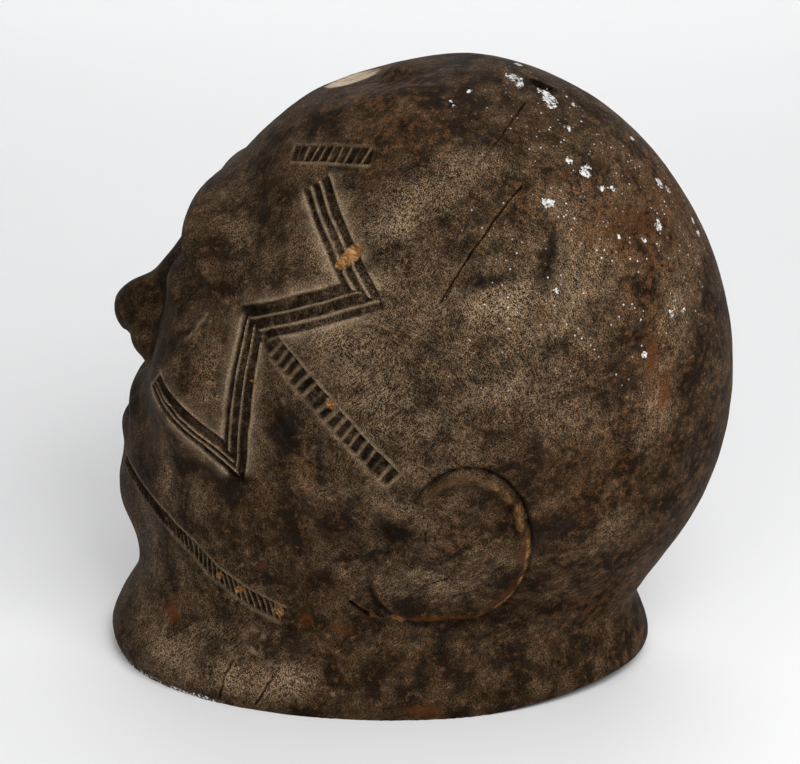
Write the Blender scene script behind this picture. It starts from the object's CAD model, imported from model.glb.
"""A carved wooden helmet mask on a pale studio floor.

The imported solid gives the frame. One finely carved piece stands for it: the same head worked out
from the same sizes, with scar bands, low ears, cracks, chips, tool marks and a hollowed inside.
Sizes are millimetres until the mesh is made. +Z is up and the face looks towards -Y.
"""
import itertools
import math

import bpy
import numpy as np
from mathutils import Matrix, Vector


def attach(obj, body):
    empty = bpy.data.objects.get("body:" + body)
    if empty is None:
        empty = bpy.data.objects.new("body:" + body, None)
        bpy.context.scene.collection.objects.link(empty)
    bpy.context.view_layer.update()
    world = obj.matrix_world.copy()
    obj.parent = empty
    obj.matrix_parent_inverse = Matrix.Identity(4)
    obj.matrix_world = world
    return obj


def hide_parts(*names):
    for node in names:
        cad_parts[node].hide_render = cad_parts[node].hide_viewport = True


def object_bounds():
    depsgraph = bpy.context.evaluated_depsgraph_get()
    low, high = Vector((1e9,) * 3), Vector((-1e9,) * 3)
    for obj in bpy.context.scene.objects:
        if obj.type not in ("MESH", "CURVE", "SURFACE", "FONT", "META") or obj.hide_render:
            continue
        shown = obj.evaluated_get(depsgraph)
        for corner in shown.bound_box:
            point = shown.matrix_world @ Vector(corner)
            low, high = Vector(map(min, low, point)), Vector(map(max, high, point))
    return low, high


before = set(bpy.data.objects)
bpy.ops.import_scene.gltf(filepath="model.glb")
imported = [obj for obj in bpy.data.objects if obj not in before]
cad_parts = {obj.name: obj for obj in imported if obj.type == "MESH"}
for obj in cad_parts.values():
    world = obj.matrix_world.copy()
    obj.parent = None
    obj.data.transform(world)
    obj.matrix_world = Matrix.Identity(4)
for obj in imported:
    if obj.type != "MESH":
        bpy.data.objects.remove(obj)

CAD_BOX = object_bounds()
MM = 0.001

# Driving dimensions of the head and neck
HEAD = dict(y=24, z=133, half_width=98, half_depth=105, half_height=121, lean=-18)
NECK = dict(y=-15, half_depth=105.5, half_width=80, top=100, flare=9.5, flare_from=6, flare_to=33,
            foot_height=7, foot_round=2, slim_from=30, slim_to=120, slim_depth=36, slim_width=24,
            bend=20, bend_height=90)
ROUNDING = dict(face=24, jaw=22, neck=14)         # how softly these run into the skull
WALL = 10.0
INNER_FLARE = 0.45                # the share of the rim's flare that the hollow follows
BELOW = 26.0                      # the raw form runs this far under the ground, to be cut off
RIM_LIFT = dict(height=6, start=35, end=101)      # the back of the rim is off the ground
CORE = np.array((0.0, -5.0, 96.0))                # rays that find the surfaces start here

# The face is laid out in its own frame: across, forward and up from the chin, leaning back
FACE = dict(y=-129, z=50, lean=22)
EYE = dict(across=36, up=124, half_width=23, half_height=13)
MOUTH = dict(up=48.5, half_width=27, slit_half_width=20, slit_height=8, slit_depth=60, slit_forward=10)
NOSE = dict(root=142, tip=86, reach=20, root_radius=8, tip_radius=12)

# Egg shapes in the face's frame: centre and radii, each as across, forward and up
FACE_FORM = ((0, -78, 112), (86, 93, 112))
JAW = ((0, -64, 50), (79, 68, 56))
CHEEK = ((52, -25, 96), (30, 24, 28))
CHIN = ((0, -20, 16), (30, 24, 20))
BROW_RIDGE = ((32, -4, 151), (38, 17, 9))
EYE_SOCKET = ((34, 27, 128), (27, 17, 17))
EYEBALL = ((EYE["across"], -4, 0), (EYE["half_width"], 15.5, EYE["half_height"]))
LASH_LINE = ((EYE["across"], 12, 0), (EYE["half_width"] - 1, 12, 1.1))
NOSE_TIP = ((0, NOSE["reach"], NOSE["tip"]), (16, 14, 12))
NOSE_WING = ((16, 8, NOSE["tip"] - 4), (11, 13, 10))
NOSTRIL = ((9, 17, NOSE["tip"] - 13), (5, 7, 5))
MUZZLE = ((0, -22, 46), (42, 30, 34))
UPPER_LIP = ((0, -2, MOUTH["up"] + 8.5), (32, 16, 9.5))
LOWER_LIP = ((0, -3, MOUTH["up"] - 8.5), (27, 16, 9.5))
LIP_LINE = ((0, 16, MOUTH["up"]), (MOUTH["half_width"], 20, 2.6))

# The ear's bowl and lobe are (forward, up, half length, half height) from its middle
EAR = dict(y=38.4, z=79, half_width=24.4, half_height=38, rise=3.0, lean=12)
EAR_BOWL = (-1, 17, 19, 17)
EAR_LOBE = (14, -23.8, 20.7, 18.3)
EAR_SIDE = (45, 60)                               # the ear fades in between these, across the head

CROWN = dict(y=16, z=251.0, fall=0.26)
BOSS = dict(y=-3, z=242.5, across=11, along=11, up=7)
BREAK = dict(x=-14, y=-33.7, z=249.3, across=34, along=27, up=12)
HOLE = dict(x=6, y=51.5, z=246, radius=3.4, depth=7, stretch=1.5)

# Scar bands, as corners in side view: (backward, up)
ZIGZAG = ((-26, 215.5), (-1, 181.5), (-48, 163.5), (-55.5, 104.5), (-91, 131.5))
CHEEK_LADDER = ((-42.5, 161), (-16, 138.2), (13, 109.2))
JAW_LADDER = ((-118, 80), (-104, 74.5), (-90, 70), (-77, 62.8), (-65.8, 53.7), (-52.6, 46.5), (-37, 40))
BROW_LADDER = ((-40, 222.6), (-22, 226), (-5, 227.5))


# Small helpers for distances

def ramp(start, end, value):
    return np.clip((value - start) / (end - start), 0, 1)


def ease(start, end, value):
    t = ramp(start, end, value)
    return t * t * (3 - 2 * t)


def join(a, b, rounding):
    h = np.clip(0.5 + 0.5 * (b - a) / rounding, 0, 1)
    return b * (1 - h) + a * h - rounding * h * (1 - h)


def carve(a, b, rounding):
    return -join(-a, b, rounding)


def egg(x, y, z, centre, radii):
    q = [(value - c) / r for value, c, r in zip((x, y, z), centre, radii)]
    reach = np.sqrt(q[0] ** 2 + q[1] ** 2 + q[2] ** 2)
    slope = np.sqrt((q[0] / radii[0]) ** 2 + (q[1] / radii[1]) ** 2 + (q[2] / radii[2]) ** 2)
    return reach * (reach - 1) / np.maximum(slope, 1e-6)


def leaning(y, z, base):
    """Forward and up distances from a base point, in a frame leaning back."""
    c, s = math.cos(math.radians(base["lean"])), math.sin(math.radians(base["lean"]))
    dy, dz = y - base["y"], z - base["z"]
    return dz * s - dy * c, dy * s + dz * c


def bell(value, half):
    t = np.clip(np.abs(value) / half, 0, 1)
    return (1 - t * t) ** 2


def shelf(value, half, edge):
    """1 inside the half width, falling to 0 over the edge."""
    return 1 - ease(half - edge, half + edge, np.abs(value))


def spot(y, z, centre_y, centre_z, half_length, half_height, turn=0.0):
    c, s = math.cos(math.radians(turn)), math.sin(math.radians(turn))
    dy, dz = y - centre_y, z - centre_z
    return np.hypot((dy * c + dz * s) / half_length, (dz * c - dy * s) / half_height)


def off_line(y, z, spots):
    """Distance in side view to a line through these spots."""
    best = np.full(y.shape, 1e3)
    for (ay, az), (by, bz) in zip(spots, spots[1:]):
        wy, wz = by - ay, bz - az
        t = np.clip(((y - ay) * wy + (z - az) * wz) / (wy * wy + wz * wz), 0, 1)
        best = np.minimum(best, np.hypot(y - ay - t * wy, z - az - t * wz))
    return best


# The head's form

def neck(x, y, z, flare_size):
    height = np.maximum(z, 0)
    foot = NECK["foot_round"] * (1 - ramp(0, NECK["foot_height"], height)) ** 2
    flare = flare_size * (1 - ease(NECK["flare_from"], NECK["flare_to"], height)) - foot
    slim = ramp(NECK["slim_from"], NECK["slim_to"], height) ** 2
    deep = NECK["half_depth"] + flare - NECK["slim_depth"] * slim
    along = (y - NECK["y"] - NECK["bend"] * (height / NECK["bend_height"]) ** 2) / deep
    back = np.clip(along, -1, 1.2)
    narrowing = 1 - 0.08 * back - 0.05 * np.maximum(back, 0)
    wide = (NECK["half_width"] + flare - NECK["slim_width"] * slim) * narrowing
    power = 2.2 - 0.15 * back
    reach = ((np.abs(x) / wide) ** power + np.abs(along) ** power) ** (1 / power)
    side = carve((reach - 1) * np.minimum(deep, wide), NECK["top"] - z, 20)
    return np.maximum(side, -BELOW - z)


def mass(x, y, z, flare_size=NECK["flare"]):
    """Head, face and neck as one smooth mass, with no features."""
    forward, up = leaning(y, z, HEAD)
    skull = egg(x, forward, up, (0, 0, 0), (HEAD["half_width"], HEAD["half_depth"], HEAD["half_height"]))
    forward, up = leaning(y, z, FACE)
    head = join(skull, egg(x, forward, up, *FACE_FORM), ROUNDING["face"])
    head = join(head, egg(x, forward, up, *JAW), ROUNDING["jaw"])
    return join(head, neck(x, y, z, flare_size), ROUNDING["neck"])


def brow(d, across, forward, up):
    arch = 0.0045 * (across - 28) ** 2
    raised = join(d, egg(across, forward, up + arch, *BROW_RIDGE), 18)
    return carve(raised, egg(across, forward, up, *EYE_SOCKET), 14)


def eye(d, across, forward, up):
    """A closed, heavy-lidded eye, with the line where the lids meet."""
    out = (across - EYE["across"]) / EYE["half_width"]
    slim = 1 - 0.3 * np.minimum(out * out, 1.6)
    height = (up - EYE["up"] + 2 * out * out) / slim
    lash_height = height + 5 - 3 * np.minimum(out * out, 1.5)
    lid = join(d, egg(across, forward, height, *EYEBALL), 3)
    return carve(lid, egg(across, forward, lash_height, *LASH_LINE), 1.0)


def nose(d, across, forward, up):
    down = ramp(NOSE["root"], NOSE["tip"], up)
    radius = NOSE["root_radius"] + (NOSE["tip_radius"] - NOSE["root_radius"]) * down
    ridge = 1 + (NOSE["reach"] - 1) * down ** 1.2
    aside = up - np.clip(up, NOSE["tip"], NOSE["root"])
    bridge = np.sqrt(across ** 2 + (forward - ridge) ** 2 + aside ** 2) - radius
    d = join(join(d, bridge, 11), egg(across, forward, up, *NOSE_TIP), 7)
    d = join(d, egg(across, forward, up, *NOSE_WING), 5)
    return carve(d, egg(across, forward, up, *NOSTRIL), 2)


def mouth(d, across, forward, up):
    bow = 0.0035 * across ** 2 - 2.2 * np.exp(-(across / 5) ** 2)
    d = join(d, egg(across, forward, up, *MUZZLE), 16)
    d = join(d, egg(across, forward, up + bow, *UPPER_LIP), 5)
    d = join(d, egg(across, forward, up - 0.004 * across ** 2, *LOWER_LIP), 5)
    return carve(d, egg(across, forward, up, *LIP_LINE), 2.5)


def ear_parts(y, z):
    """Forward and up from the ear's middle, and how far out of its disc, bowl and lobe a point is.

    Each of those is 1 at the outline.
    """
    front, up = leaning(y, z, EAR)
    disc = spot(front, up, 0, 0, EAR["half_width"], EAR["half_height"])
    return front, up, disc, spot(front, up, *EAR_BOWL), spot(front, up, *EAR_LOBE)


def ear_rise(y, z):
    front, up, disc, bowl, lobe = ear_parts(y, z)
    rim = 1 - ease(0.93, 1, disc)
    raised = np.maximum(rim, 0.9 * (1 - ease(0.88, 1, lobe)))
    open_front = 1 - 0.7 * ease(10, 20, front) * ease(-10, 2, up) * (1 - ease(14, 24, up))
    return EAR["rise"] * (raised * open_front - 1.15 * (1 - ease(0.72, 1, bowl)))


def broken_off(x, y, z):
    """The shallow scoop where the crown is broken, lying along the crown's fall."""
    turn = math.atan(CROWN["fall"])
    dy, dz = y - BREAK["y"], z - BREAK["z"]
    along = dy * math.cos(turn) + dz * math.sin(turn)
    up = dz * math.cos(turn) - dy * math.sin(turn)
    return egg(x, along, up, (BREAK["x"], 0, 0), (BREAK["across"], BREAK["along"], BREAK["up"]))


def crown(d, x, y, z):
    above = (z - CROWN["z"] - CROWN["fall"] * (y - CROWN["y"])) / math.hypot(1, CROWN["fall"])
    boss = egg(x, y, z, (0, BOSS["y"], BOSS["z"]), (BOSS["across"], BOSS["along"], BOSS["up"]))
    return carve(join(carve(d, -above, 3), boss, 4), broken_off(x, y, z), 0.8)


def outside(x, y, z):
    across = np.abs(x)
    forward, up = leaning(y, z, FACE)
    d = brow(mass(x, y, z), across, forward, up)
    d = eye(d, across, forward, up)
    d = join(d, egg(across, forward, up, *CHEEK), 20)
    d = nose(d, across, forward, up)
    d = mouth(d, across, forward, up)
    d = join(d, egg(across, forward, up, *CHIN), 16)
    return crown(d, x, y, z) - ear_rise(y, z) * ease(*EAR_SIDE, across)


def hollow(x, y, z):
    return mass(x, y, z, NECK["flare"] * INNER_FLARE) + WALL


def rim_height(y):
    return RIM_LIFT["height"] * ease(RIM_LIFT["start"], RIM_LIFT["end"], y)


# Repeatable noise, from a hash of whole-number corners

def lattice(ix, iy, iz, seed):
    n = ix * 374761393 + iy * 668265263 + iz * 2147483647 + seed * 1274126177
    n = (n ^ (n >> 13)) * 1103515245
    n = (n ^ (n >> 16)) & 0xFFFF
    return n / 65535.0


def noise(points, scale, seed=0):
    """Smooth noise from 0 to 1 with bumps about the given size, which is one number or three."""
    q = (points / np.asarray(scale, float)).T
    base = np.floor(q).astype(np.int64)
    t = q - base
    t = t * t * (3 - 2 * t)
    total = 0
    for corner in itertools.product((0, 1), repeat=3):
        here = base + np.array(corner)[:, None]
        weight = np.prod([share if side else 1 - share for side, share in zip(corner, t)], axis=0)
        total = total + weight * lattice(*here, seed)
    return total


def rough(points, scale, seed=0, layers=3):
    """Layered noise, from about -1 to 1."""
    total, size = 0, 1.0
    for layer in range(layers):
        total = total + size * (2 * noise(points, np.asarray(scale, float) / 2 ** layer, seed + layer) - 1)
        size /= 2
    return total / 1.6


# Casting rays onto a form, and a shell of facets that gets finer where it is asked to

def halve(is_out, low, high, times):
    """Brings low and high together, round the place where is_out starts to hold."""
    for _ in range(times):
        middle = (low + high) / 2
        out = is_out(middle)
        low = np.where(out, low, middle)
        high = np.where(out, middle, high)
    return low, high


def along_ray(form, directions, reach):
    points = CORE + directions * reach[:, None]
    return form(points[:, 0], points[:, 1], points[:, 2])


def settle(form, directions, low, high, times):
    low, high = halve(lambda reach: along_ray(form, directions, reach) > 0, low, high, times)
    return (low + high) / 2


def first_cast(form, directions, far=200.0, near=30.0, step=3.0):
    """Distance from the core at which each ray leaves the form for the last time."""
    inside = np.full(len(directions), near)
    waiting = np.ones(len(directions), bool)
    for reach in np.arange(far, near, -step):
        hit = waiting.copy()
        hit[waiting] = along_ray(form, directions[waiting], np.full(waiting.sum(), reach)) < 0
        inside[hit] = reach
        waiting &= ~hit
    return settle(form, directions, inside, inside + step, 14)


def near_cast(form, directions, guess, span=5.0):
    """As first_cast, where a good guess is known. Rays that the guess misses are cast in full."""
    low, high = guess - span, guess + span
    good = (along_ray(form, directions, low) < 0) & (along_ray(form, directions, high) > 0)
    reach = settle(form, directions, low, high, 11)
    if not good.all():
        reach[~good] = first_cast(form, directions[~good])
    return reach


def between(directions, ends):
    """The directions halfway between pairs of directions."""
    middle = directions[ends].sum(axis=1)
    return middle / np.linalg.norm(middle, axis=1, keepdims=True)


def octahedron(levels):
    corners = np.array(((1, 0, 0), (-1, 0, 0), (0, 1, 0), (0, -1, 0), (0, 0, 1), (0, 0, -1)), float)
    facets = np.array(((0, 2, 4), (2, 1, 4), (1, 3, 4), (3, 0, 4),
                       (2, 0, 5), (1, 2, 5), (3, 1, 5), (0, 3, 5)))
    for _ in range(levels):
        edges = np.sort(facets[:, (0, 1, 1, 2, 2, 0)].reshape(-1, 2), axis=1)
        unique, where = np.unique(edges, axis=0, return_inverse=True)
        m = (len(corners) + where.reshape(-1, 3)).T
        corners = np.vstack((corners, between(corners, unique)))
        a, b, c = facets.T
        facets = stacked((a, m[0], m[2]), (m[0], b, m[1]), (m[2], m[1], c), (m[0], m[1], m[2]))
    return corners, facets


def stacked(*corner_lists):
    return np.concatenate([np.stack(corners, axis=1) for corners in corner_lists])


STEEPEST = 1.8                    # edges that run along the rays count as no longer than this


def longest_first(directions, reach, facets):
    """The facets, turned so that each one's first edge is its longest, and the length of that edge."""
    corners, rays = (CORE + directions * reach[:, None])[facets], directions[facets]
    lengths = np.linalg.norm(corners - np.roll(corners, -1, axis=1), axis=2)
    spread = np.linalg.norm(rays - np.roll(rays, -1, axis=1), axis=2) * reach[facets]
    lengths = np.minimum(lengths, STEEPEST * spread)
    turn = (lengths.argmax(axis=1)[:, None] + np.arange(3)) % 3
    return facets[np.arange(len(facets))[:, None], turn], lengths.max(axis=1)


def halved(facets, sides, chosen, count):
    """The facets, with the chosen edges cut at new corners numbered on from count."""
    a, b, c = facets.T
    number = count + np.cumsum(chosen) - 1
    cut_1, cut_2, cut_3 = (chosen[side] for side in sides)
    mid_1, mid_2, mid_3 = (number[side] for side in sides)
    parts = [facets[~cut_1]]
    for cut, corner_list in (
            (cut_1 & ~cut_3, (a, mid_1, c)), (cut_1 & ~cut_2, (mid_1, b, c)),
            (cut_1 & cut_3, (mid_1, c, mid_3)), (cut_1 & cut_3, (mid_1, mid_3, a)),
            (cut_1 & cut_2, (mid_1, b, mid_2)), (cut_1 & cut_2, (mid_1, mid_2, c))):
        parts.append(stacked([corner[cut] for corner in corner_list]))
    return np.concatenate(parts)


def shell(form, longest_edge, levels, passes):
    """A closed shell whose longest edges are halved until none is over longest_edge(points)."""
    directions, facets = octahedron(levels)
    reach = first_cast(form, directions)
    for _ in range(passes):
        points = CORE + directions * reach[:, None]
        facets, longest = longest_first(directions, reach, facets)
        a, b, c = facets.T
        count = len(directions)
        pairs = ((a, b), (b, c), (c, a))
        keys = np.concatenate([np.minimum(p, q) * count + np.maximum(p, q) for p, q in pairs])
        edges, which = np.unique(keys, return_inverse=True)
        first, second, third = sides = which.reshape(3, -1)
        chosen = np.zeros(len(edges), bool)
        missed = longest > longest_edge((points[a] + points[b]) / 2)
        if not missed.any():
            break
        while missed.any():
            chosen[first[missed]] = True
            missed = (chosen[second] | chosen[third]) & ~chosen[first]
        ends = np.stack((edges[chosen] // count, edges[chosen] % count), axis=1)
        new = between(directions, ends)
        reach = np.concatenate((reach, near_cast(form, new, reach[ends].mean(axis=1))))
        directions = np.vstack((directions, new))
        facets = halved(facets, sides, chosen, count)
    return CORE + directions * reach[:, None], facets


def normals_of(points, facets):
    corners = points[facets]
    face = np.cross(corners[:, 1] - corners[:, 0], corners[:, 2] - corners[:, 0])
    total = np.zeros_like(points)
    for k in range(3):
        np.add.at(total, facets[:, k], face)
    return total / np.maximum(np.linalg.norm(total, axis=1, keepdims=True), 1e-12)


# Places on the side of the head, given in side view

def on_side(y, z, side):
    """The outside's points at these places in side view."""
    y, z = np.broadcast_arrays(np.asarray(y, float), np.asarray(z, float))
    low, high = np.zeros_like(y), np.full_like(y, 120.0)
    for width in np.arange(118.0, 0.0, -2.0):
        inside = (outside(np.full_like(y, width), y, z) < 0) & (low == 0)
        low = np.where(inside, width, low)
        high = np.where(inside, width + 2, high)
    low, _ = halve(lambda width: outside(width, y, z) > 0, low, high, 14)
    return np.stack((side * low, y, z), axis=-1)


def facing(points):
    nudge = 0.5
    slope = []
    for axis in range(3):
        step = np.zeros(3)
        step[axis] = nudge
        more, less = points + step, points - step
        slope.append(outside(*more.T) - outside(*less.T))
    slope = np.stack(slope, axis=1)
    return slope / np.linalg.norm(slope, axis=1, keepdims=True)


class Leg:
    """One straight stretch of a scar band, as a curved centre line on the wood."""

    def __init__(self, start, end, before, after, side):
        self.start = np.array(start, float)
        self.way = np.array(end, float) - self.start
        self.length_in_view = np.hypot(*self.way)
        self.way /= self.length_in_view
        count = max(int(self.length_in_view / 3), 2)
        share = np.linspace(-0.25, 1.25, 3 * count + 1)
        spots = self.start + np.outer(share * self.length_in_view, self.way)
        self.points = on_side(spots[:, 0], spots[:, 1], side)
        self.share = share
        out = facing(self.points)
        along = np.gradient(self.points, axis=0)
        along /= np.linalg.norm(along, axis=1, keepdims=True)
        across = np.cross(out, along) * side
        self.across = across / np.linalg.norm(across, axis=1, keepdims=True)
        steps = np.linalg.norm(np.diff(self.points, axis=0), axis=1)
        run = np.concatenate(((0,), np.cumsum(steps)))
        self.run = run - np.interp(0, share, run)
        self.length = np.interp(1, share, self.run)
        self.before = before
        self.after = after

    def measure(self, points):
        """Distance along and across the leg, and whether the point is in this leg's stretch."""
        flat = points[:, 1:] - self.start
        share = flat @ self.way / self.length_in_view
        centre = np.stack([np.interp(share, self.share, self.points[:, k]) for k in range(3)], axis=1)
        across = np.stack([np.interp(share, self.share, self.across[:, k]) for k in range(3)], axis=1)
        along = np.interp(share, self.share, self.run)
        sideways = np.einsum("ij,ij->i", points - centre, across)
        mine = np.ones(len(points), bool)
        if self.before is not None:
            mine &= flat @ (self.way + self.before) > 0
        if self.after is not None:
            mine &= (flat - self.way * self.length_in_view) @ (self.way + self.after) < 0
        mine &= np.linalg.norm(points - centre, axis=1) < 14
        return along, sideways, mine


def legs_of(corners, side):
    corners = [np.array(corner, float) for corner in corners]
    ways = [(b - a) / np.hypot(*(b - a)) for a, b in zip(corners, corners[1:])]
    legs = []
    for i, (a, b) in enumerate(zip(corners, corners[1:])):
        before = ways[i - 1] if i else None
        after = ways[i + 1] if i + 1 < len(ways) else None
        legs.append(Leg(a, b, before, after, side))
    return legs


# Carving and wear on the outside. Depths are millimetres into the wood

# The zigzag's four legs: half width, and the ridges left standing as (place across, half width)
ZIGZAG_BANDS = (
    dict(half=5.6, ridges=((-2.6, 1.25), (1.5, 1.05))),
    dict(half=6.8, ridges=((-1.8, 0.75), (3.4, 0.95))),
    dict(half=4.9, ridges=((-2.8, 0.65), (0.9, 0.65))),
    dict(half=5.6, ridges=((2.8, 0.75), (0.1, 0.65))),
)
ZIGZAG_DEPTH = 1.2
CHEEK_RUNGS = dict(half=4.1, depth=1.5, pitch=4.3, ridge_half=1.25, slant=0.05, kept=0.85,
                   borders=(0.95, 0.5))
JAW_RUNGS = dict(half=3.2, depth=1.2, pitch=2.9, ridge_half=0.75, slant=0.85, kept=0.9, borders=(0.7, 0.4))
BROW_RUNGS = dict(half=3.5, depth=0.8, pitch=4.0, ridge_half=0.9, slant=-0.35, kept=0.85, borders=(0.3, 0.65))
WORN_CHANNEL = (45, 64)                           # where the cheek ladder's rungs are worn away

CRACKS = (
    dict(spots=((29, 181.2), (36.9, 195.2), (45.9, 209.6), (53.8, 219.5)), half=0.34, depth=1.2),
    dict(spots=((30.6, 182.0), (33.2, 187.2)), half=0.26, depth=0.6),
    dict(spots=((36.1, 225.9), (43.5, 235.1), (48.1, 242.4)), half=0.28, depth=0.8),
    dict(spots=((-57.6, 19), (-60, 13), (-62.5, 3)), half=0.42, depth=1.1),
    dict(spots=((-37.2, 19), (-41.5, 13), (-46.4, 3)), half=0.42, depth=1.2),
    dict(spots=((-8.9, 48.8), (-2.6, 44.1)), half=1.1, depth=1.6),
    dict(spots=((24.4, 88.7), (24.1, 82.9)), half=0.5, depth=0.6),
    dict(spots=((32.2, 65.7), (21.9, 60.5)), half=0.34, depth=0.4),
)
SCRATCHES = (
    ((-79.4, 27.2), (-73.8, 23.2)), ((-57.6, 33.2), (-53, 29.1)), ((-50.5, 32.9), (-44.2, 28.2)),
    ((-51.7, 24.5), (-39.9, 20.3)), ((-27.6, 11.5), (-9.3, 11.7)),
)
# Fresh breaks that show orange wood: (backward, up, half length, half height, turn in degrees, depth)
CHIPS = (
    (-7.8, 194.0, 6.2, 3.0, 44, 1.3), (-11.4, 190.4, 2.2, 1.9, 20, 1.0), (-64.4, 52.7, 1.9, 1.5, 30, 0.7),
    (-55.2, 48.3, 2.6, 1.5, 30, 0.7), (-38.6, 41.6, 2.0, 2.8, 20, 0.9), (10, 42.3, 3.2, 1.1, -15, 0.8),
    (-12.4, 138.4, 2.0, 2.4, 0, 0.4), (-46, 141, 1.9, 0.6, 5, 0.3),
)
# Dark red, worn spots: (backward, up, half length, half height, turn)
RUST = (
    (-27, 39.5, 3.6, 2.8, 0), (-13.5, 36.4, 5.2, 1.9, -8), (22, 5, 9, 2.8, 0), (-44.4, 62, 1.8, 1.6, 0),
    (28, 43.5, 20, 1.8, 4), (-88, 28, 5, 4, 0), (110, 140, 2.0, 8, 0), (105, 155, 2.0, 7, 0),
)
# Pale brown, worn spots, given in the same way
TAN = (
    (81, 201, 6.0, 3.0, -20), (67.6, 220.7, 3.0, 2.0, 0), (78.6, 223, 3.0, 2.0, 0), (66, 176, 3, 6, 0),
    (12, 96, 6, 3, -30),
)
# Dark smears: two ends and the half width
STREAKS = (
    ((0, 192), (19, 204), 2.8), ((19, 204), (35, 214), 2.2), ((16, 140), (42, 153), 3.6),
    ((42, 153), (74, 166), 3.0), ((-89, 21), (-79, 29), 2.4), ((6, 84), (14, 89), 4.4),
    ((40, 188), (55, 190), 1.8), ((66, 186), (67, 199), 2.0), ((-34, 132), (-30, 122), 3.5),
    ((41, 82), (32, 77), 0.9),
)
# Flecks of white paint: (across, backward, up, radius)
WHITE = (
    (-9.8, 38.8, 249.0, 2.6), (9.5, 40.5, 248.4, 3.6), (13.5, 44.0, 247.2, 3.2), (11.0, 53.0, 243.8, 2.8),
    (15.0, 56.0, 242.0, 3.9), (18.5, 57.5, 240.5, 2.8), (5.1, 60.9, 241.2, 1.4), (8.5, 65.0, 238.6, 1.7),
    (27.7, 27.1, 247.0, 1.9), (29.2, 31.8, 245.7, 1.0), (35.5, 21.0, 244.4, 1.3), (37.5, 23.0, 243.4, 1.3),
    (25.7, 65.8, 234.2, 1.9), (19.5, 69.4, 233.9, 1.2), (40.1, 68.8, 225.3, 1.7), (38.9, 75.3, 221.4, 3.6),
    (40.1, 81.8, 215.0, 2.0), (36.2, 85.5, 214.1, 1.6), (58.4, 64.2, 213.7, 2.7), (8.8, 99.5, 209.4, 2.8),
    (5.0, 102.5, 205.5, 2.4), (28.6, 102.7, 198.1, 3.0), (40.4, 98.6, 195.5, 1.8), (49.3, 89.9, 198.9, 1.6),
    (-1.2, 112.3, 191.6, 2.0), (0.5, 114.5, 187.0, 2.2), (-2.4, 86.8, 223.3, 2.0), (75.0, 70.8, 184.7, 1.5),
    (44.7, 110.6, 168.3, 1.6), (38.0, 114.3, 167.9, 1.7), (60.9, 102.9, 156.3, 1.7),
    (48.0, 22.8, 237.2, 0.8),
)
TOP = (225, 230)                                  # marks on the crown fade in between these heights
STAINS = ("dark", "pale", "orange", "rust", "white", "tan", "cream", "hollow")


def within(leg, along, mine, start, end):
    """1 on this leg, and soft where the band itself starts or ends."""
    share = ease(*start, along) if leg.before is None else 1
    if leg.after is None:
        share = share * (1 - ease(leg.length + end[0], leg.length + end[1], along))
    return share * mine


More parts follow.
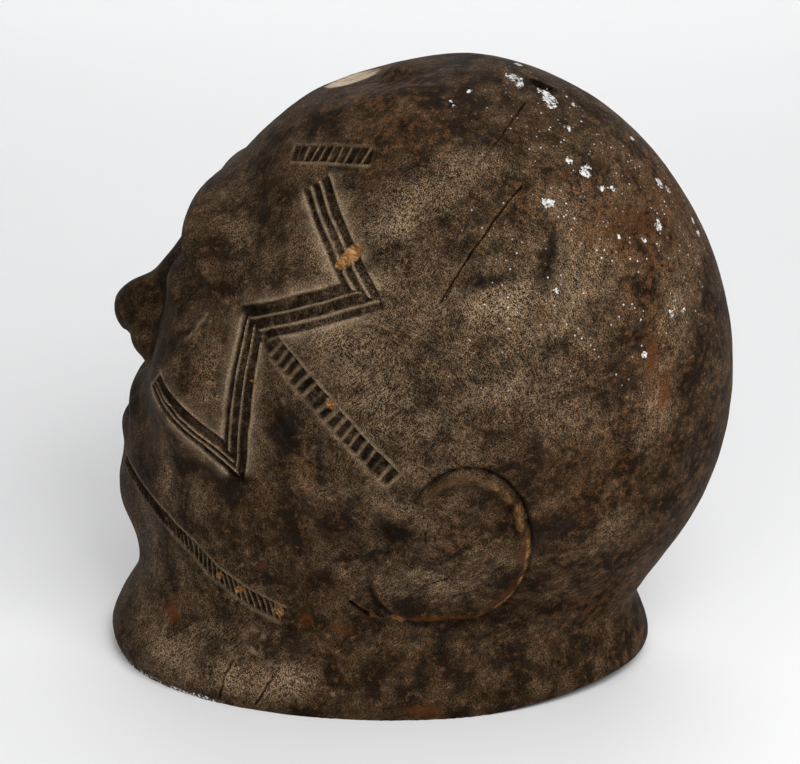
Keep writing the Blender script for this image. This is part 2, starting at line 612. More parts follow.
class Wood:
    """The carving at a set of points on the outside: how far it moves them, and its stains."""

    def __init__(self, points):
        self.points = points
        self.x, self.y, self.z = points.T
        self.seen = ease(8, 20, self.x)
        self.lift = np.zeros(len(points))
        self.stains = {name: np.zeros(len(points)) for name in STAINS}

    def noise(self, scale, seed):
        return noise(self.points, scale, seed)

    def rough(self, scale, seed, layers=3):
        return rough(self.points, scale, seed, layers)

    def stain(self, name, amount):
        self.stains[name] = np.maximum(self.stains[name], np.clip(amount, 0, 1))

    def clean(self, amount, *names):
        for name in names:
            self.stains[name] *= 1 - np.clip(amount, 0, 1)

    def zigzag(self, legs):
        """Grooves with narrow ridges left between them, and pale wood rubbed bare along the edges."""
        for leg, band in zip(legs, ZIGZAG_BANDS):
            along, aside, mine = leg.measure(self.points)
            aside = aside + 0.3 * (2 * self.noise(9, 31) - 1) + 0.12 * self.rough(2.2, 36)
            half = band["half"]
            floor = shelf(aside, half, 0.5) * within(leg, along, mine, (-0.9, 0.5), (-0.6, 0.8))
            worn = 0.6 + 0.5 * ease(0.25, 0.55, self.noise(5, 32))
            ridge = sum(bell(aside - place, wide) for place, wide in band["ridges"]) * np.minimum(worn, 1)
            depth = ZIGZAG_DEPTH * (0.75 + 0.5 * self.noise(7, 33))
            self.lift -= depth * floor * (1 - 0.9 * np.minimum(ridge, 1))
            self.stain("dark", floor * (1 - 1.7 * ridge) * (0.55 + 0.55 * self.noise(4, 35)))
            self.stain("pale", 1.1 * floor * ridge)
            patchy = 0.2 + 1.2 * self.noise(5, 34)
            out = np.abs(aside) - half
            line = bell(out - 0.7, 1.2)
            halo = (1 - ease(0.5, 6.5, out)) * ease(-0.3, 0.6, out)
            stretch = mine * ease(-3, 2, along) * (1 - ease(leg.length, leg.length + 4, along))
            self.stain("pale", (0.85 * line + 0.5 * halo) * patchy * stretch)
            if leg.after is None:
                self.stain("pale", 0.8 * bell(along - leg.length - 0.8, 1.1) * shelf(aside, half + 1.2, 0.6))

    def ladder(self, legs, size, worn=None):
        """A sunk strip crossed by rungs, counted from the start of the band."""
        before = 0.0
        for leg in legs:
            along, aside, mine = leg.measure(self.points)
            aside = aside + 0.25 * (2 * self.noise(7, 41) - 1)
            ends = within(leg, along, mine, (-0.8, 0.4), (-0.4, 0.8))
            floor = shelf(aside, size["half"], 0.45) * ends
            count = (along + before + size["slant"] * aside) / size["pitch"]
            count = count + 0.25 * (2 * self.noise(9, 42) - 1)
            near = np.minimum(count % 1, 1 - count % 1) * size["pitch"]
            left = lattice(np.round(count).astype(np.int64), 0, 5, 43) < size["kept"]
            rung = bell(near, size["ridge_half"]) * np.where(left, 1, 0.3)
            smooth = 0.0
            if worn is not None:
                smooth = ease(worn[0] - 3, worn[0] + 2, along) * (1 - ease(worn[1] - 2, worn[1] + 2, along))
                rung = rung * (1 - smooth)
                floor = floor * (1 - 0.3 * smooth)
                self.stain("tan", 0.5 * floor * smooth)
            depth = size["depth"] * (0.7 + 0.6 * self.noise(5, 44))
            self.lift -= depth * floor * (1 - 0.85 * rung)
            pits = 0.6 + 0.7 * self.noise(5, 46)
            self.stain("dark", floor * (1 - 1.5 * rung) * (1 - 0.5 * smooth) * pits)
            self.stain("pale", 0.75 * floor * rung * (0.45 + 0.8 * self.noise(1.6, 47)))
            for sign, strength in zip((1, -1), size["borders"]):
                edge = bell(sign * aside - size["half"] - 0.8, 1.3) * ends
                self.stain("pale", strength * edge * (0.35 + 0.8 * self.noise(4, 45)))
            before += leg.length

    def ear(self):
        """A thin undercut round the ear, and its rim worn brown above and orange behind."""
        front, up, disc, _, lobe = ear_parts(self.y, self.z)
        closed = 1 - ease(10, 16, front) * ease(-12, -4, up) * (1 - ease(16, 24, up))
        here = closed * ease(*EAR_SIDE, np.abs(self.x))
        out = (np.minimum(disc, lobe) - 1) * 24    # roughly millimetres outside the outline
        out = out + 0.3 * self.rough(5, 52)
        high, low, behind = ease(4, 20, up), 1 - ease(-30, -20, up), 1 - ease(-14, 2, front)
        back_low = behind * (1 - high)
        line = bell(out - 0.6, 0.9) * here
        self.lift -= 1.2 * line * (0.4 + 0.6 * high)
        self.stain("dark", line * (0.6 + 0.9 * high) * (0.4 + 0.9 * self.noise(5, 53)))
        wide = 0.6 + 1.2 * high
        rim = bell(out + wide, wide + 0.4) * here
        patchy = ease(0.25, 0.6, self.noise(5, 51))
        self.stain("tan", 0.8 * rim * high * ease(-14, 0, front) * (0.2 + 0.8 * patchy))
        thin = bell(out + 0.5, 0.8) * here * back_low * self.seen
        self.stain("orange", 0.9 * thin * ease(0.35, 0.6, self.noise(3.5, 54)))
        self.stain("orange", 0.45 * rim * high * behind * ease(0.5, 0.7, self.noise(4, 55)) * self.seen)
        self.stain("dark", 0.7 * bell(out - 0.5, 0.9) * here * back_low)
        reddened = ease(0.3, 0.6, self.noise(4, 56)) * np.maximum(back_low, low)
        self.stain("rust", 0.55 * bell(out + 2.0, 2.6) * here * reddened)
        self.stain("dark", 0.55 * bell(out - 0.9, 2.2) * here * low)

    def crack(self, spots, half, depth):
        wander = 0.45 * (2 * self.noise(7, 61) - 1) + 0.25 * (2 * self.noise(1.8, 62) - 1)
        off = off_line(self.y + wander, self.z, spots)
        self.lift -= depth * bell(off, half) * self.seen
        self.stain("dark", 1.3 * bell(off, half + 0.12) * self.seen)
        self.stain("tan", 0.5 * bell(off - half - 0.6, 0.6) * self.seen * self.noise(5, 63))

    def scratch(self, spots):
        off = off_line(self.y, self.z, spots)
        self.lift -= 0.2 * bell(off, 0.5) * self.seen
        self.stain("pale", 0.9 * bell(off, 0.55) * self.seen)

    def chip(self, y, z, half_length, half_height, turn, depth):
        ragged = 0.22 * self.rough(3.5, 71) + 0.08 * self.rough(1.1, 73)
        away = spot(self.y, self.z, y, z, half_length, half_height, turn) + ragged
        inside = (1 - ease(0.75, 1.1, away)) * self.seen
        self.lift -= depth * inside * (0.7 + 0.5 * self.noise(1.6, 72))
        self.stain("orange", inside * (0.8 + 0.4 * self.noise(2.0, 74)))
        self.clean(inside, "dark", "pale")

    def worn_spots(self):
        wobble = 0.35 * self.rough(3, 81)
        for name, places, strength in (("rust", RUST, 0.8), ("tan", TAN, 0.5)):
            for place in places:
                away = spot(self.y, self.z, *place) + wobble
                self.stain(name, strength * (1 - ease(0.4, 1.2, away)) * self.seen)
        for start, end, half in STREAKS:
            off = off_line(self.y, self.z, (start, end))
            smeared = bell(off, 1.8 * half) * (0.5 + 0.7 * self.noise((9, 9, 4), 82))
            self.stain("dark", 0.8 * smeared * self.seen)

    def white_paint(self):
        """Ragged flecks, each turned and thinned in its own way, and a chipped edge low on the front."""
        ragged = 0.45 * self.rough(1.9, 83)
        for number, (*centre, radius) in enumerate(WHITE):
            turn = 2 * math.pi * lattice(number, 1, 2, 84)
            thin = 0.2 + 2.4 * lattice(number, 3, 4, 85)
            away = self.points - centre
            aside = away @ np.array((0, math.cos(turn), math.sin(turn)))
            away = np.sqrt((away ** 2).sum(axis=1) + thin * aside ** 2) / radius + ragged
            self.stain("white", 1.3 - 0.8 * away)
        above = self.z - rim_height(self.y)
        self.stain("white", 0.62 * (1 - ease(1.5, 4.0, above)) * (1 - ease(-70, -40, self.y)) * self.seen)

    def tool_marks(self):
        """Shallow knife facets and a slightly uneven surface, only ever cut inwards."""
        facets = 0.25 * self.rough(26, 91, 2) + 0.22 * self.rough((11, 11, 7), 92, 2)
        self.lift -= 0.55 - facets - 0.05 * self.rough(2.6, 93, 2)

    def broken_crown(self):
        """The patch in front of the boss has snapped off down to pale wood."""
        ragged = 0.25 * self.rough(8, 94)
        inside = 1 - ease(0.5, 0.9, np.abs(broken_off(self.x, self.y, self.z)) + ragged)
        inside = inside * ease(*TOP, self.z)
        self.lift -= 0.25 * inside * self.rough((1.8, 7, 1.8), 95)
        round_boss = spot(self.x, self.y, 0, BOSS["y"], BOSS["across"], BOSS["along"])
        self.stain("dark", 0.6 * bell(round_boss - 1.1, 0.35) * ease(*TOP, self.z))
        self.stain("cream", inside)
        self.clean(inside, "dark", "pale")

    def hollow_out(self):
        """Bare, gouged wood wherever the hollow's surface is, and dirt down the small hole."""
        away = hollow(self.x, self.y, self.z)
        self.stain("hollow", 1 - ease(1.0, 3.5, away))
        near_hole = spot(self.x, self.y, HOLE["x"], HOLE["y"], 1.3 * HOLE["radius"], 2 * HOLE["radius"])
        down_hole = (1 - ease(0.82, 1.0, near_hole)) * ease(220, 230, self.z)
        self.stain("dark", down_hole)
        self.clean(down_hole, "white")


def carve_all(wood, bands):
    wood.tool_marks()
    for zigzag, cheek, jaw, brow_legs in bands:
        wood.zigzag(zigzag)
        wood.ladder(cheek, CHEEK_RUNGS, WORN_CHANNEL)
        wood.ladder(jaw, JAW_RUNGS)
        wood.ladder(brow_legs, BROW_RUNGS)
    wood.ear()
    for crack in CRACKS:
        wood.crack(**crack)
    for spots in SCRATCHES:
        wood.scratch(spots)
    for chip in CHIPS:
        wood.chip(*chip)
    wood.worn_spots()
    wood.white_paint()
    wood.broken_crown()
    return wood


# How fine the mesh is: the longest edge allowed at a point, in millimetres
EDGE = dict(seen=3.3, hidden=5.5, face=3.0, band=0.8, ladder=0.85, hidden_band=2.0, crack=0.55, chip=0.7,
            fleck=1.1, ear=1.2, crown=1.6, hollow=8.0)
# Half widths of the strips in which the bands and cracks get a finer mesh
FINE_STRIPS = ((ZIGZAG, 6.6, "band"), (CHEEK_LADDER, 5.2, "ladder"), (JAW_LADDER, 4.4, "ladder"),
               (BROW_LADDER, 4.4, "ladder"))
FINE_CRACK = 1.5
SHARP_ANGLE = 48                                  # facets that meet at more degrees keep a sharp edge
BOX_GAP = 0.02                                    # the piece stays this far inside the solid's box


def edge_length(points):
    x, y, z = points.T
    size = np.where(x > -12, EDGE["seen"], EDGE["hidden"])
    forward, up = leaning(y, z, FACE)
    size = np.where((forward > -45) & (up > 5) & (up < 170), EDGE["face"], size)

    def finer(where, kind):
        size[where] = np.minimum(size[where], EDGE[kind])
    seen = x > 8
    for corners, half, kind in FINE_STRIPS:
        near = off_line(y, z, corners) < half
        finer(near & seen, kind)
        finer(near & (x < -8), "hidden_band")
    _, _, disc, _, lobe = ear_parts(y, z)
    outline = np.minimum(disc, lobe)
    finer((x > 50) & (outline > 0.84) & (outline < 1.12), "ear")
    for crack in CRACKS:
        finer(seen & (off_line(y, z, crack["spots"]) < FINE_CRACK), "crack")
    for *place, _ in CHIPS:
        finer(seen & (spot(y, z, *place) < 1.3), "chip")
    for *centre, radius in WHITE:
        finer(np.linalg.norm(points - centre, axis=1) < 1.3 * radius, "fleck")
    finer((z > TOP[0]) & (np.hypot(x - BREAK["x"], y - BREAK["y"]) < 24), "crown")
    return size


def head_points(bands):
    points, facets = shell(outside, edge_length, levels=4, passes=26)
    wood = carve_all(Wood(points), bands)
    return points + normals_of(points, facets) * wood.lift[:, None], facets


def hollow_points():
    points, facets = shell(hollow, lambda spots: np.full(len(spots), EDGE["hollow"]), levels=4, passes=6)
    gouges = rough(points, (16, 16, 26), 95, 2)
    return points + normals_of(points, facets) * (0.6 * gouges)[:, None], facets


def placed(name, data):
    made = bpy.data.objects.new(name, data)
    bpy.context.scene.collection.objects.link(made)
    return made


def add_object(name, points, facets):
    """A mesh object in the scene, from points in millimetres."""
    mesh = bpy.data.meshes.new(name)
    places = (np.array(points, float) * MM).tolist()
    mesh.from_pydata(places, [], [tuple(map(int, facet)) for facet in facets])
    mesh.update()
    return placed(name, mesh)


def bar_object(name, outline, start, end, place):
    """A closed bar with this outline, from start to end; place puts (u, v, w) into space."""
    count = len(outline)
    points = [place(u, v, w) for w in (start, end) for u, v in outline]
    facets = [tuple(range(count))[::-1], tuple(range(count, 2 * count))]
    facets += [(k, (k + 1) % count, count + (k + 1) % count, count + k) for k in range(count)]
    return add_object(name, points, facets)


def ground_object():
    """All that lies under the rim, which rises towards the back."""
    reach, steps = 160.0, 24
    outline = [(-reach, -2 * BELOW), (reach, -2 * BELOW), (reach, RIM_LIFT["height"])]
    for k in range(steps, -1, -1):
        y = RIM_LIFT["start"] + (RIM_LIFT["end"] - RIM_LIFT["start"]) * k / steps
        outline.append((y, float(rim_height(y))))
    outline.append((-reach, 0.0))
    return bar_object("ground", outline, -reach, reach, lambda u, v, w: (w, u, v))


def slit_object():
    """The slit between the lips, cut straight back through the wall."""
    lean = math.radians(FACE["lean"])
    z = FACE["z"] + MOUTH["up"] * math.cos(lean) + MOUTH["slit_forward"] * math.sin(lean)
    y = FACE["y"] + MOUTH["up"] * math.sin(lean) - MOUTH["slit_forward"] * math.cos(lean)
    steps = 16
    lens = []
    for sign in (-1, 1):
        for k in range(steps):
            t = -1 + 2 * k / steps
            rise = 0.5 * MOUTH["slit_height"] * (1 - t * t)
            lens.append((-sign * t * MOUTH["slit_half_width"], sign * rise))
    front = y - 0.4 * MOUTH["slit_depth"]
    back = y + 0.6 * MOUTH["slit_depth"]
    return bar_object("slit", lens[::-1], front, back, lambda u, v, w: (u, w, z + v))


def hole_object():
    """The small hole behind the crown, a little uneven and longer from front to back."""
    centre = np.array((HOLE["x"], HOLE["y"], HOLE["z"]))
    out = centre - CORE
    out /= np.linalg.norm(out)
    sideways = np.cross((0, 1, 0), out)
    sideways /= np.linalg.norm(sideways)
    lengthways = np.cross(out, sideways)
    steps = 20
    ring = []
    for k in range(steps):
        turn = 2 * math.pi * k / steps
        radius = HOLE["radius"] * (1 + 0.08 * math.sin(3 * turn + 1))
        ring.append((radius * math.cos(turn), HOLE["stretch"] * radius * math.sin(turn)))

    def place(u, v, w):
        return centre + sideways * u + lengthways * v + out * w
    return bar_object("hole", ring, -HOLE["depth"], HOLE["depth"], place)


def outward(made):
    """Turns the object's faces outwards, so that the cuts know inside from outside."""
    mesh = made.data
    volume = 0.0
    for face in mesh.polygons:
        corners = [mesh.vertices[v].co for v in face.vertices]
        for b, c in zip(corners[1:], corners[2:]):
            volume += corners[0].dot(b.cross(c))
    if volume < 0:
        mesh.flip_normals()
    return made


def cut(made, cutters):
    for cutter in cutters:
        modifier = made.modifiers.new(cutter.name, "BOOLEAN")
        modifier.operation = "DIFFERENCE"
        modifier.solver = "MANIFOLD"
        modifier.object = cutter
    graph = bpy.context.evaluated_depsgraph_get()
    finished = bpy.data.meshes.new_from_object(made.evaluated_get(graph))
    made.modifiers.clear()
    made.data = finished
    for cutter in cutters:
        bpy.data.objects.remove(cutter)


def coordinates(mesh):
    flat = np.empty(3 * len(mesh.vertices), np.float32)
    mesh.vertices.foreach_get("co", flat)
    return flat.reshape(-1, 3).astype(float)


def add_layers(mesh, layers):
    """Keeps a number at each point of the mesh, for the material to read."""
    for name, values in layers.items():
        layer = mesh.attributes.new(name, "FLOAT", "POINT")
        layer.data.foreach_set("value", values.astype(np.float32))


def build_mask():
    bands = [tuple(legs_of(corners, side) for corners in (ZIGZAG, CHEEK_LADDER, JAW_LADDER, BROW_LADDER))
             for side in (1, -1)]
    mask = add_object("helmet_mask_carved", *head_points(bands))
    cutters = (add_object("hollow", *hollow_points()), ground_object(), slit_object(), hole_object())
    cut(mask, [outward(cutter) for cutter in cutters])
    mesh = mask.data
    low, high = np.array(CAD_BOX) / MM
    points = np.clip(coordinates(mesh) / MM, low + BOX_GAP, high - BOX_GAP)
    mesh.vertices.foreach_set("co", (points * MM).astype(np.float32).ravel())
    wood = carve_all(Wood(points), bands)
    wood.hollow_out()
    add_layers(mesh, wood.stains)
    mesh.shade_smooth()
    mesh.set_sharp_from_angle(angle=math.radians(SHARP_ANGLE))
    mesh.update()
    return mask


# Materials, all worked out from noise and the stains above

class Value:
    """A number worked out by a material's nodes, with the usual signs for arithmetic."""

    def __init__(self, nodes, socket):
        self.nodes = nodes
        self.socket = socket

    def __add__(self, other):
        return self.nodes.math("ADD", self, other)

    def __sub__(self, other):
        return self.nodes.math("SUBTRACT", self, other)

    def __mul__(self, other):
        return self.nodes.math("MULTIPLY", self, other)


class Nodes:
    """Short forms for building a material's nodes."""

    def __init__(self, name):
        self.material = bpy.data.materials.new(name)
        self.material.use_nodes = True
        self.tree = self.material.node_tree
        self.tree.nodes.clear()
        self.place = Value(self, self.add("ShaderNodeTexCoord").outputs["Object"])

    def add(self, kind, **settings):
        node = self.tree.nodes.new(kind)
        for name, value in settings.items():
            setattr(node, name, value)
        return node

    def put(self, socket, value):
        if isinstance(value, Value):
            self.tree.links.new(value.socket, socket)
        else:
            socket.default_value = value

    def fill(self, node, output, **inputs):
        """Sets or links inputs, named with _ for a space, and gives the output."""
        for name, value in inputs.items():
            self.put(node.inputs[name.replace("_", " ")], value)
        return Value(self, node.outputs[output])

    def mapped(self, shift, **inputs):
        node = self.add("ShaderNodeMapping", vector_type="TEXTURE")
        return self.fill(node, "Vector", Vector=self.place, Location=(shift * MM,) * 3, **inputs)

    def noise(self, size, stretch=(1, 1, 1), turn=(0, 0, 0), detail=3.0, roughness=0.55, shift=0.0):
        """Noise from 0 to 1 with features about this size in millimetres, stretched and turned."""
        place = self.mapped(shift, Rotation=[math.radians(angle) for angle in turn], Scale=stretch)
        return self.fill(self.add("ShaderNodeTexNoise"), "Fac", Vector=place, Scale=1 / (size * MM),
                         Detail=detail, Roughness=roughness)

    def cells(self, size, shift):
        """Distance from scattered spots about this far apart, in shares of that size."""
        texture = self.add("ShaderNodeTexVoronoi", feature="F1")
        return self.fill(texture, "Distance", Vector=self.mapped(shift), Scale=1 / (size * MM))

    def math(self, operation, a, b, clamp=False):
        node = self.add("ShaderNodeMath", operation=operation, use_clamp=clamp)
        self.put(node.inputs[0], a)
        self.put(node.inputs[1], b)
        return Value(self, node.outputs[0])

    def span(self, value, low, high, to_low=0.0, to_high=1.0):
        """The value carried from one range to another, smoothly, and held at the ends."""
        node = self.add("ShaderNodeMapRange", interpolation_type="SMOOTHSTEP")
        return self.fill(node, "Result", Value=value, From_Min=low, From_Max=high,
                         To_Min=to_low, To_Max=to_high)

    def mix(self, share, a, b):
        node = self.add("ShaderNodeMix", data_type="RGBA", clamp_factor=True)
        self.put(node.inputs["Factor"], share)
        colours = [socket for socket in node.inputs if socket.type == "RGBA"]
        for socket, value in zip(colours, (a, b)):
            self.put(socket, value if isinstance(value, Value) else (*value, 1))
        return Value(self, next(socket for socket in node.outputs if socket.type == "RGBA"))

    def stain(self, name):
        return Value(self, self.add("ShaderNodeAttribute", attribute_name=name).outputs["Fac"])

    def bump(self, height, distance, **below):
        return self.fill(self.add("ShaderNodeBump"), "Normal", Strength=1.0, Distance=distance * MM,
                         Height=height, **below)

    def surface(self, **inputs):
        shader = self.fill(self.add("ShaderNodeBsdfPrincipled"), "BSDF", **inputs)
        self.put(self.add("ShaderNodeOutputMaterial").inputs["Surface"], shader)
        return self.material


DARK_WOOD = (0.0145, 0.0083, 0.0041)
BROWN_WOOD = (0.041, 0.0222, 0.0100)
RED_WOOD = (0.085, 0.0345, 0.0125)
SMOKY_WOOD = (0.0180, 0.0148, 0.0124)
DUST = (0.385, 0.266, 0.163)
PALE_DUST = (0.42, 0.305, 0.195)
DIRT = (0.0045, 0.0026, 0.0015)
ORANGE_WOOD = (0.19, 0.078, 0.024)
BRIGHT_WOOD = (0.45, 0.255, 0.105)
TAN_WOOD = (0.125, 0.064, 0.028)
RUST_WOOD = (0.085, 0.026, 0.0075)
CREAM_WOOD = (0.62, 0.49, 0.36)
CREAM_SHADE = (0.42, 0.31, 0.21)
WHITE_PAINT = (0.66, 0.66, 0.64)
GREY_PAINT = (0.27, 0.26, 0.245)
INNER_WOOD = (0.115, 0.070, 0.038)
INNER_SHADE = (0.060, 0.036, 0.020)
FLOOR_WHITE = (0.78, 0.78, 0.785)
FLOOR_SHADE = tuple(0.985 * part for part in FLOOR_WHITE)

# Ways the fine scratches run: turn in degrees, shift of the noise, size of the areas each one covers
SCRATCH_WAYS = ((38, 5, 17), (-28, 17, 13), (72, 29, 11), (-66, 41, 21))


def bare_wood(n, patch, mottle, smoke):
    """Dark brown wood with lighter, reddish and smoky patches."""
    colour = n.mix(n.span(patch, 0.36, 0.64), DARK_WOOD, BROWN_WOOD)
    ruddy = n.span(mottle + (n.stain("warm") - 0.4) * 0.20, 0.50, 0.66)
    colour = n.mix(ruddy * 0.75, colour, RED_WOOD)
    return n.mix(smoke * 0.65, colour, SMOKY_WOOD)


def raised_dust(n, specks):
    """Where dust clings: on specks, on short scratches that run several ways and on long brush strokes."""
    strokes = None
    for turn, shift, place in SCRATCH_WAYS:
        fine = n.noise(0.50, stretch=(1.5, 8.0, 1), turn=(turn, 0, 0), detail=0.5, shift=shift)
        fine = fine + (n.noise(place, detail=1, shift=shift) - 0.5) * 0.42
        stroke = n.span(fine, 0.57, 0.67)
        strokes = stroke if strokes is None else n.math("MAXIMUM", strokes, stroke)
    brushed = n.noise(0.85, stretch=(1.5, 11, 1), turn=(33, 0, 0), detail=2, shift=19)
    down = n.noise(0.95, stretch=(4, 1, 12), turn=(-8, 0, 0), detail=2, shift=57)
    raised = strokes * 0.55 + specks * 0.55
    raised = raised + n.span(brushed, 0.50, 0.66) * (n.stain("brushed") * 0.4)
    return raised + n.span(down, 0.50, 0.66) * (n.stain("warm") * 0.4)


def worn_and_broken(n, colour, mottle, specks):
    """Wear, dirt and breaks where the carving puts them."""
    fleck = n.span(specks, 0.0, 1.0, 0.35, 1.0)
    colour = n.mix(n.stain("tan") * fleck, colour, TAN_WOOD)
    colour = n.mix(n.stain("rust") * n.span(mottle, 0.35, 0.6, 0.5, 1.0), colour, RUST_WOOD)
    colour = n.mix(n.stain("pale") * (fleck * 0.85), colour, PALE_DUST)
    colour = n.mix(n.stain("dark") * n.span(mottle, 0.35, 0.65, 0.95, 0.65), colour, DIRT)
    grain = n.noise(0.8, stretch=(1, 6, 1), turn=(-30, 0, 0), shift=37)
    fresh = n.mix(n.span(grain, 0.42, 0.68), ORANGE_WOOD, BRIGHT_WOOD)
    nicks = n.span(n.cells(4.5, shift=23), 0.08, 0.16, 1.0, 0.0) * n.span(specks, 0.0, 0.5)
    colour = n.mix(nicks * n.stain("splashed") * 0.7, colour, BRIGHT_WOOD)
    colour = n.mix(n.stain("orange") * n.span(grain, 0.25, 0.5, 0.4, 1.0), colour, fresh)
    colour = n.mix(n.stain("cream"), colour, n.mix(n.span(grain, 0.35, 0.7), CREAM_SHADE, CREAM_WOOD))
    gouged = n.span(n.noise(2.2, stretch=(1, 1, 9), detail=4, shift=7), 0.35, 0.7)
    return n.mix(n.stain("hollow"), colour, n.mix(gouged, INNER_SHADE, INNER_WOOD))


def white_paint(n, patch):
    """Where the paint is, and its colour: flaked spots, and a fine spray over the splashed area."""
    flaked = n.noise(1.5, detail=4, roughness=0.68, shift=67)
    spots = n.span(n.stain("white") * ((flaked - 0.5) * 4.2 + 1.0), 0.64, 0.78)
    spray = n.span(n.cells(2.7, shift=11), 0.10, 0.17, 1.0, 0.0) * n.span(patch, 0.45, 0.54)
    paint = n.math("MAXIMUM", spots, spray * n.stain("splashed"))
    return paint, n.mix(n.span(flaked, 0.44, 0.60), GREY_PAINT, WHITE_PAINT)


def aged_wood():
    n = Nodes("aged carved wood")
    patch = n.noise(12, roughness=0.6, shift=71)
    mottle = n.noise(3.2, roughness=0.6, shift=29)
    smoke = n.noise(8, stretch=(1, 1.6, 1), turn=(35, 0, 0), shift=53)
    smoke = n.span(smoke + n.stain("smoky") * 0.22, 0.54, 0.78)
    specks = n.span(n.noise(0.40, detail=1.0, shift=3), 0.54, 0.62)
    pitted = n.span(n.noise(0.46, detail=1.0, shift=91), 0.50, 0.62)
    cover = n.stain("tone") + (patch - 0.5) * 0.8 + (mottle - 0.5) * 0.6 - smoke * 0.25
    raised = raised_dust(n, specks)
    dusty = n.math("MULTIPLY", raised, n.span(cover, -0.2, 1.0), clamp=True)
    colour = n.mix(dusty, bare_wood(n, patch, mottle, smoke), DUST)
    colour = n.mix(pitted * 0.85, colour, DIRT)
    colour = worn_and_broken(n, colour, mottle, specks)
    paint, paint_colour = white_paint(n, patch)
    colour = n.mix(paint, colour, paint_colour)
    height = raised * 0.6 - pitted * 0.8 + paint * 0.4
    normal = n.bump(height, 0.10, Normal=n.bump(mottle, 0.30))
    dull = n.span(dusty + n.stain("hollow"), 0.0, 0.7, 0.50, 0.85) + paint * 0.1
    return n.surface(Base_Color=colour, Roughness=dull, Normal=normal, Specular_IOR_Level=0.01)


def studio_floor():
    n = Nodes("pale studio floor")
    shade = n.mix(n.noise(160, detail=2), FLOOR_WHITE, FLOOR_SHADE)
    dull = n.span(n.noise(2, detail=2), 0.3, 0.7, 0.60, 0.68)
    return n.surface(Base_Color=shade, Roughness=dull, Specular_IOR_Level=0.25)


def floor_object():
    """A wide sweep: flat under the mask, curving up far behind it."""
    wide, rise, steps = 3200, 1600, 24
    start, radius, front = 1150, 900, -1600
    profile = [(front, 0.0), (start, 0.0)]
    for k in range(1, steps + 1):
        turn = 0.5 * math.pi * k / steps
        profile.append((start + radius * math.sin(turn), radius * (1 - math.cos(turn))))
    profile.append((start + radius, radius + rise))
    points = [as_seen(side * wide, up, -run) for run, up in profile for side in (1, -1)]
    facets = [(2 * k, 2 * k + 1, 2 * k + 3, 2 * k + 2) for k in range(len(profile) - 1)]
    made = add_object("studio floor", points, facets)
    made.data.shade_smooth()
    return made


# Broad patches over the wood: (backward, up, half length, half height, turn in degrees, strength).
# Below zero, the wood there is cleaner and darker
DUSTY = (
    (52, 182, 12, 8, 20, 0.75), (56, 158, 24, 11, 35, 0.35), (75, 137, 14, 12, 35, 0.20),
    (10, 210, 9, 13, -30, 0.50), (30, 226, 9, 12, -50, 0.35), (-16, 196, 8, 15, 0, 0.28),
    (-17, 167, 16, 8, 0, 0.45), (9, 145, 22, 11, -45, 0.45), (-66, 140, 12, 14, 0, 0.16),
    (79, 192, 12, 11, 0, 0.32), (-86, 17, 12, 8, 0, 0.50), (-58, 12, 9, 6, 0, 0.50),
    (-33, 15, 13, 6, 10, 0.85), (-8, 62, 12, 10, 0, 0.22), (14, 98, 7, 6, 0, 0.45),
    (32, 60, 19, 9, 15, 0.40), (95, 89, 6, 8, 0, 0.30), (-102, 53, 6, 14, 0, 0.30), (5, 181, 9, 9, 0, 0.35),
    (-56, 193, 6, 10, 0, 0.20), (-28, 130, 7, 7, 0, 0.25), (5, 127, 5, 7, 0, 0.25),
    (26, 168, 9, 9, 0, 0.15), (8, 58, 11, 10, 0, 0.30), (23, 67, 9, 7, 0, 0.20), (-89, 90, 5, 12, 0, 0.45),
    (-68, 29, 8, 5, 0, 0.20), (102, 124, 5, 6, 0, 0.25), (111, 165, 5, 30, 0, 0.35),
    (84, 33, 6, 6, 0, 0.20), (86, 10, 12, 5, 0, 0.30), (-4, 228, 14, 11, 0, -0.25),
    (15, 239, 14, 8, 0, -0.15), (-66, 181, 6, 12, 0, -0.20), (-57, 152, 5, 12, 0, -0.20),
    (44, 209, 5, 7, 0, -0.20), (89, 201, 8, 9, 0, -0.30), (80, 112, 22, 16, 0, -0.35),
    (-50, 80, 16, 9, 20, -0.35), (-28, 83, 12, 9, 0, -0.32), (-26, 53, 8, 7, 0, -0.45),
    (2, 27, 17, 9, 0, -0.50), (-72, 135, 5, 10, 0, -0.15), (46, 134, 8, 8, 0, -0.12),
    (-45, 215, 16, 16, 0, -0.15), (-66, 165, 8, 26, 0, -0.12), (84, 98, 20, 12, 0, -0.18),
    (53, 95, 10, 10, 0, -0.25), (105, 128, 6, 16, 0, 0.30), (3, 192, 42, 14, 0, 0.06),
)
SMOKY = (
    (20, 240, 10, 16, 60, 0.9), (-32, 126, 8, 12, 0, 1.0), (-60, 98, 14, 8, 0, 0.8), (11, 87, 6, 6, 0, 1.1),
    (66, 192, 4, 8, 0, 1.1), (47, 189, 9, 3, 10, 0.8), (-47, 200, 4, 20, 0, 0.8), (-19, 80, 20, 14, 0, 0.5),
    (76, 88, 16, 8, 40, 0.7), (45, 26, 45, 8, 0, 0.5), (95, 149, 8, 14, 0, 0.6), (119, 140, 4, 16, 0, 0.5),
    (-4, 14, 16, 6, 0, 0.4),
)
RUDDY = (
    (98, 200, 20, 22, 0, 0.9), (83, 202, 8, 5, 0, 1.2), (-24, 110, 7, 12, 0, 1.0),
    (-6, 240, 34, 10, -10, 0.7), (107, 147, 5, 22, 0, 1.2), (84, 110, 14, 34, 0, 0.4),
    (85, 43, 24, 12, 30, 0.7), (-88, 28, 6, 5, 0, 1.0), (60, 215, 16, 12, 0, 0.6), (38, 84, 14, 10, 0, 0.5),
)


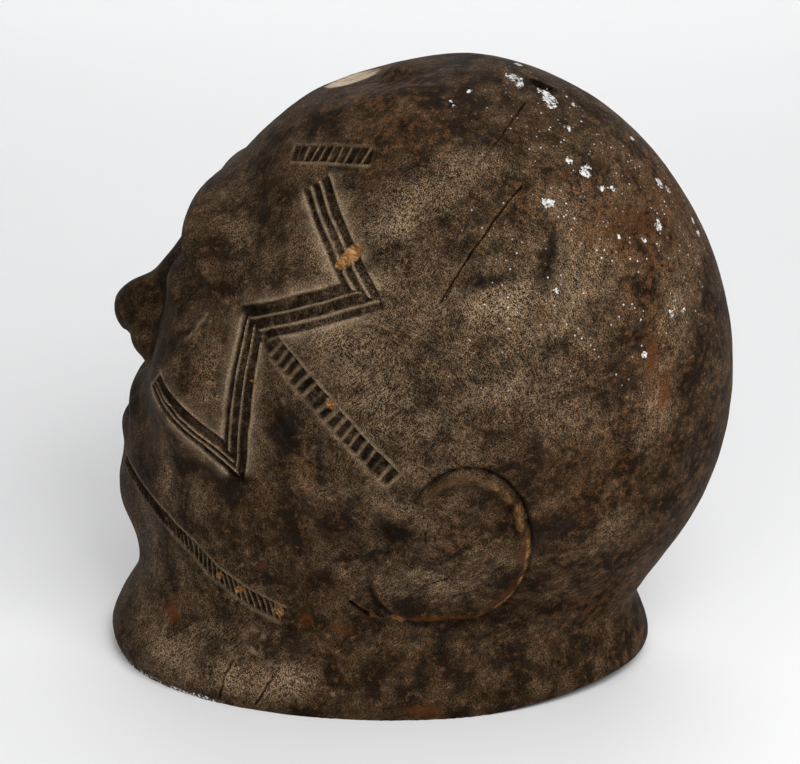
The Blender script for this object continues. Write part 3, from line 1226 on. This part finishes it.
def tone_fields(mesh):
    """Broad differences over the wood: how dusty, smoky, warm or brushed, and where paint splashed."""
    x, y, z = (coordinates(mesh) / MM).T

    def patches(places):
        return sum(strength * np.exp(-spot(y, z, *place) ** 2) for *place, strength in places)
    smoky = patches(SMOKY)
    tone = 0.19 + patches(DUSTY) - 0.22 * smoky
    # Less dust low on the neck and its back, on the crown, behind, and on the face above the chin
    tone = tone - 0.15 * (1 - ease(35, 70, z)) * ease(-60, -30, y)
    tone = tone - 0.25 * (1 - ease(50, 90, z)) * ease(-40, 0, y)
    tone = tone - 0.14 * ease(222, 240, z) - 0.12 * ease(85, 105, y)
    tone = tone - 0.16 * (1 - ease(-100, -62, y)) * ease(60, 80, z)
    warm = 0.15 + patches(RUDDY) + 0.25 * ease(60, 110, y)
    brushed = (1 - ease(70, 110, z)) * ease(-30, 40, y) + ease(236, 246, z) + 0.3
    splashed = ease(12, 60, y) * ease(120, 175, z) * ease(-20, 5, x)
    fields = dict(tone=tone, smoky=smoky, warm=warm, brushed=brushed, splashed=splashed)
    add_layers(mesh, {name: np.clip(values, 0, 1.2) for name, values in fields.items()})


# Camera and light, in metres. The camera stands to the mask's left and a little behind it, looking down

AIM = Vector((0, -7, 113)) * MM
AZIMUTH = math.radians(103)
ELEVATION = math.radians(21)
DISTANCE = 1.150
LENS = 124.7
BACK = Vector((math.sin(AZIMUTH) * math.cos(ELEVATION), -math.cos(AZIMUTH) * math.cos(ELEVATION),
               math.sin(ELEVATION)))
WORLD_TINT = (0.98, 0.99, 1.0, 1)
LIGHTS = dict(
    key=dict(place=(0.36, 0.8, 0.7), aim=(0.05, 0, 0.2), size=(0.6, 0.5), power=8.0),
    fill=dict(place=(-0.05, 1.0, 1.2), aim=(0, 0, 0.05), size=(0.9, 0.6), power=7.0),
    backdrop=dict(place=(0.0, 1.5, -1.6), aim=(-0.1, 0, -1.3), size=(2.2, 0.6), power=20.0),
)


def add_camera():
    data = bpy.data.cameras.new("camera")
    data.lens, data.sensor_width, data.sensor_fit = LENS, 36.0, "HORIZONTAL"
    data.clip_start, data.clip_end = 0.05, 20.0
    camera = placed("camera", data)
    camera.location = AIM + BACK * DISTANCE
    camera.rotation_euler = BACK.to_track_quat("Z", "Y").to_euler()
    bpy.context.scene.camera = camera


def as_seen(right, up, toward):
    """A place given as the camera sees it: to the right, up, and towards the camera."""
    flat = Vector((BACK.x, BACK.y, 0)).normalized()
    return Vector((-flat.y, flat.x, 0)) * right + Vector((0, 0, up)) + flat * toward


def add_light(name, place, aim, size, power):
    place, aim = as_seen(*place), as_seen(*aim)
    data = bpy.data.lights.new(name, "AREA")
    data.shape = "RECTANGLE"
    data.size, data.size_y = size
    data.energy = power
    light = placed(name, data)
    light.location = place
    light.rotation_euler = (place - aim).to_track_quat("Z", "Y").to_euler()


def add_world(strength):
    world = bpy.data.worlds.new("studio")
    world.use_nodes = True
    background = next(node for node in world.node_tree.nodes if node.type == "BACKGROUND")
    background.inputs["Color"].default_value = WORLD_TINT
    background.inputs["Strength"].default_value = strength
    bpy.context.scene.world = world


mask = build_mask()
tone_fields(mask.data)
mask.data.materials.clear()
mask.data.materials.append(aged_wood())
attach(mask, "root")
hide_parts("helmet_mask")

floor = floor_object()
floor.data.materials.append(studio_floor())

add_camera()
bpy.context.scene.view_settings.view_transform = "Standard"
for name, settings in LIGHTS.items():
    add_light(name, **settings)
add_world(0.40)
